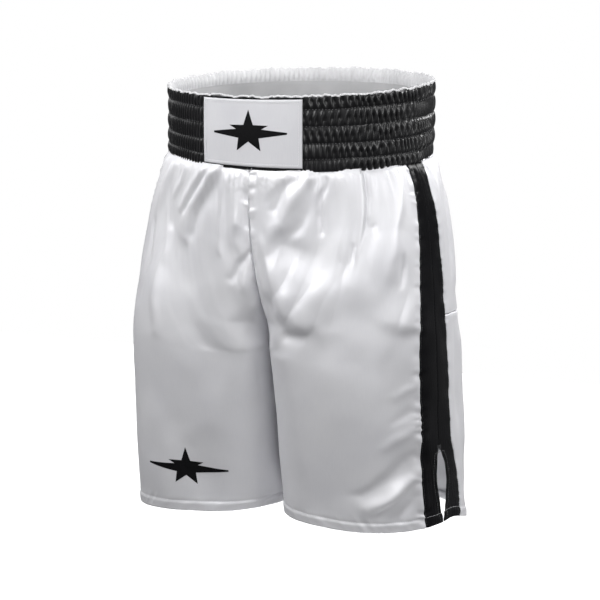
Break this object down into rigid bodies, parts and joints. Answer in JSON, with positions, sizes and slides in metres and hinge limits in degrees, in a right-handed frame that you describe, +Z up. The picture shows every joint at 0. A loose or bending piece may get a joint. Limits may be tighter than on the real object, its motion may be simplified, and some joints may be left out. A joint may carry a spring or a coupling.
{
  "type": "boxing shorts",
  "caption": "Satin boxing shorts with a tall shirred elastic waistband, a label patch on the front, contrast side stripes and side vents at the hems.",
  "frame": {"origin": "centre of the waist opening, level with the middle of the waistband's top edge", "axes": "+Z up, out of the waist opening; -Y the wearer's front; +X the wearer's left"},
  "size_m": [0.4346, 0.3186, 0.6013],
  "materials": {
    "white_satin": "glossy white polyester satin with soft folds",
    "black_satin": "glossy black polyester satin, shirred on the waistband",
    "label_satin": "matt woven white label satin",
    "lining": "pale matt gathered lining",
    "elastic": "woven elastic webbing",
    "white_thread": "white polyester thread",
    "black_thread": "black polyester thread",
    "grey_thread": "dark grey elastic thread",
    "black_print": "smooth black heat-transfer print"
  },
  "bodies": {
    "root": {"waistband_cover": "black_satin", "waistband_elastic": "elastic", "waistband_lining": "lining", "shirring_stitch_1": "grey_thread", "shirring_stitch_2": "grey_thread", "shirring_stitch_3": "grey_thread", "shirring_stitch_4": "grey_thread", "label_patch": "label_satin", "label_edge_stitch": "white_thread", "label_mark": "black_print", "front_panel_left": "white_satin", "back_upper_panel_left": "white_satin", "back_lower_panel_left": "white_satin", "side_stripe_front_left": "black_satin", "side_stripe_rear_left": "black_satin", "stripe_front_stitch_left": "black_thread", "stripe_rear_stitch_left": "black_thread", "hem_stitch_left": "white_thread", "yoke_stitch_left": "white_thread", "vent_stitch_left": "black_thread", "vent_bar_tack_left": "black_thread", "inseam_overlock_left": "white_thread", "front_panel_right": "white_satin", "back_upper_panel_right": "white_satin", "back_lower_panel_right": "white_satin", "side_stripe_front_right": "black_satin", "side_stripe_rear_right": "black_satin", "stripe_front_stitch_right": "black_thread", "stripe_rear_stitch_right": "black_thread", "hem_stitch_right": "white_thread", "yoke_stitch_right": "white_thread", "vent_stitch_right": "black_thread", "vent_bar_tack_right": "black_thread", "inseam_overlock_right": "white_thread", "centre_seam_overlock": "white_thread", "leg_mark": "black_print"}
  },
  "joints": []
}
